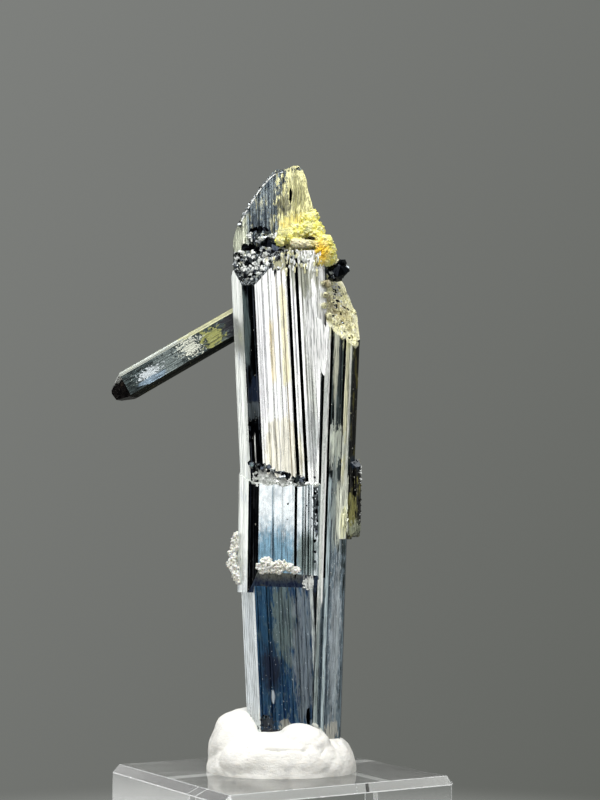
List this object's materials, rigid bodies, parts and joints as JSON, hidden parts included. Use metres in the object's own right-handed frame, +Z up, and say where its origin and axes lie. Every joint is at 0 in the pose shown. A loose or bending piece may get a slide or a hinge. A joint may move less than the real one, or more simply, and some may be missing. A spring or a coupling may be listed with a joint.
{
  "type": "stibnite specimen",
  "caption": "Upright group of dark, striated stibnite crystals with yellow crust, its foot set in white mounting putty on a clear acrylic block.",
  "frame": {"origin": "centre of the clear block's underside", "axes": "+Z up along the standing crystals, X and Y along the block's sides, -Y out of the block's front face; the specimen's broad striated side faces 31 degrees to the left of -Y"},
  "size_m": [0.0353, 0.0318, 0.096],
  "materials": {
    "stibnite": "gloss",
    "yellow_crust": "matte",
    "white_crust": "matte",
    "mounting_putty": "matte",
    "clear_acrylic": "polished"
  },
  "bodies": {
    "root": {"display_block": "clear_acrylic", "mounting_putty": "mounting_putty", "stibnite_crystals": "stibnite", "yellow_crust": "yellow_crust", "white_edge_crust": "white_crust", "white_ledge_crust": "white_crust"}
  },
  "joints": []
}
